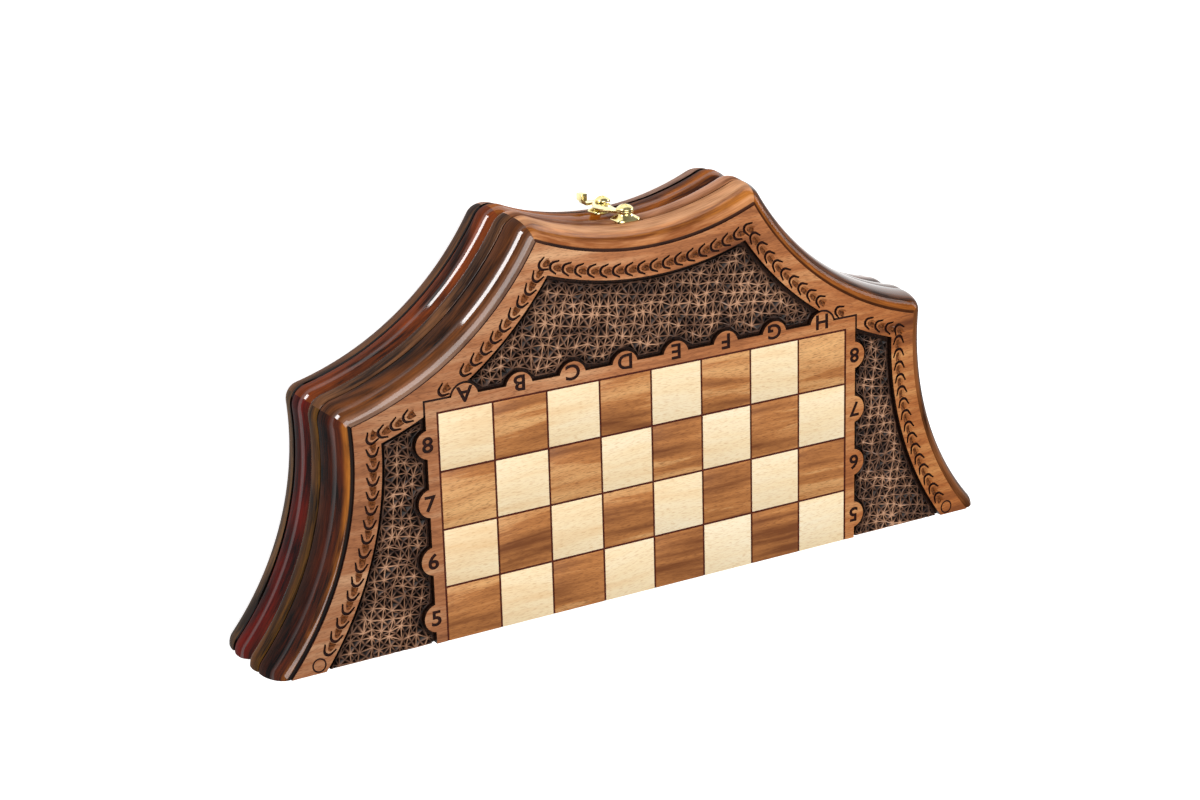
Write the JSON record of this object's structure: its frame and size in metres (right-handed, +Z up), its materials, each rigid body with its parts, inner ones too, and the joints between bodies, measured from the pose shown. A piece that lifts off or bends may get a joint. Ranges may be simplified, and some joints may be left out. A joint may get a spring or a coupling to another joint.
{
  "type": "chess box with hinged lid",
  "caption": "Folding wooden chess box with hollow-sided moulded halves, a carved board on the outside, a hinged lid and a brass hook clasp.",
  "frame": {"origin": "on the surface that the shut box lies on, in the middle of the base's outer face, 115 mm behind the hinge axis", "axes": "+Z up, from the base's outer face towards the lid's; +Y from the hinges towards the clasp; +X along the fold to the right as seen from above"},
  "size_m": [0.5006, 0.2419, 0.077],
  "materials": {
    "carved_panel": "satin stained beech with a carved ground",
    "lacquered_moulding": "high-gloss dark lacquer",
    "stained_wood": "satin stain",
    "brass": "polished brass plate"
  },
  "bodies": {
    "base": {"base_panel": "carved_panel", "base_rail_lower_left": "lacquered_moulding", "base_rail_upper_left": "lacquered_moulding", "base_rail_top": "lacquered_moulding", "base_rail_upper_right": "lacquered_moulding", "base_rail_lower_right": "lacquered_moulding", "base_fold_rail": "stained_wood", "hinge_left_base_leaf": "brass", "hinge_left_pin": "brass", "hinge_right_base_leaf": "brass", "hinge_right_pin": "brass", "base_hinge_screws": "brass", "catch_plate": "brass", "catch_post": "brass"},
    "lid": {"lid_panel": "carved_panel", "lid_rail_lower_left": "lacquered_moulding", "lid_rail_upper_left": "lacquered_moulding", "lid_rail_top": "lacquered_moulding", "lid_rail_upper_right": "lacquered_moulding", "lid_rail_lower_right": "lacquered_moulding", "lid_fold_rail": "stained_wood", "hinge_left_lid_leaf": "brass", "hinge_right_lid_leaf": "brass", "lid_hinge_screws": "brass", "pivot_plate": "brass", "pivot_screw": "brass"},
    "hook": {"hook": "brass"}
  },
  "joints": [
    {"name": "lid_hinge", "type": "hinge", "parent": "base", "child": "lid", "pos_m": [0, -0.115, 0.0385], "axis": [1, 0, 0], "range_deg": [0, 180]},
    {"name": "hook_swing", "type": "hinge", "parent": "lid", "child": "hook", "pos_m": [0, 0.115, 0.0515], "axis": [0, 1, 0], "range_deg": [0, 100]}
  ]
}
